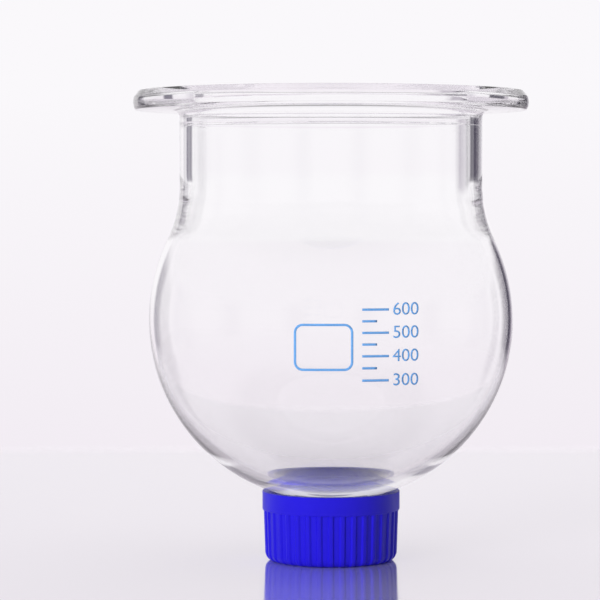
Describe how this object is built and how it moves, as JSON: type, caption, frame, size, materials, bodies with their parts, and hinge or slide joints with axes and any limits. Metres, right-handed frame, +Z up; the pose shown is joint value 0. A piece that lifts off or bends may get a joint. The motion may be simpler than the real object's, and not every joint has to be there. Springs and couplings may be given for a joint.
{
  "type": "wide-flange reaction flask on a screw-cap stand",
  "caption": "Round-bottomed glass reaction flask with a wide flat ground flange, standing in the mouth of an upturned ribbed screw cap.",
  "frame": {"origin": "centre of the closed end of the upturned cap, on the surface that the part stands on", "axes": "+Z up along the common axis of cap, bulb, neck and flange; -Y is the front, where the enamel marks are"},
  "size_m": [0.142, 0.142, 0.169],
  "materials": {
    "clear_glass": "clear fire-polished borosilicate glass, ground flat on the flange's top",
    "enamel": "fired light blue enamel",
    "blue_polypropylene": "moulded polypropylene with a soft gloss"
  },
  "bodies": {
    "stand": {"screw_cap": "blue_polypropylene"},
    "vessel": {"bulb": "clear_glass", "neck": "clear_glass", "flange": "clear_glass", "enamel_marks": "enamel"}
  },
  "joints": [
    {"name": "vessel_lift", "type": "slide", "parent": "stand", "child": "vessel", "axis": [0, 0, 1], "range_m": [0, 0.06]}
  ]
}
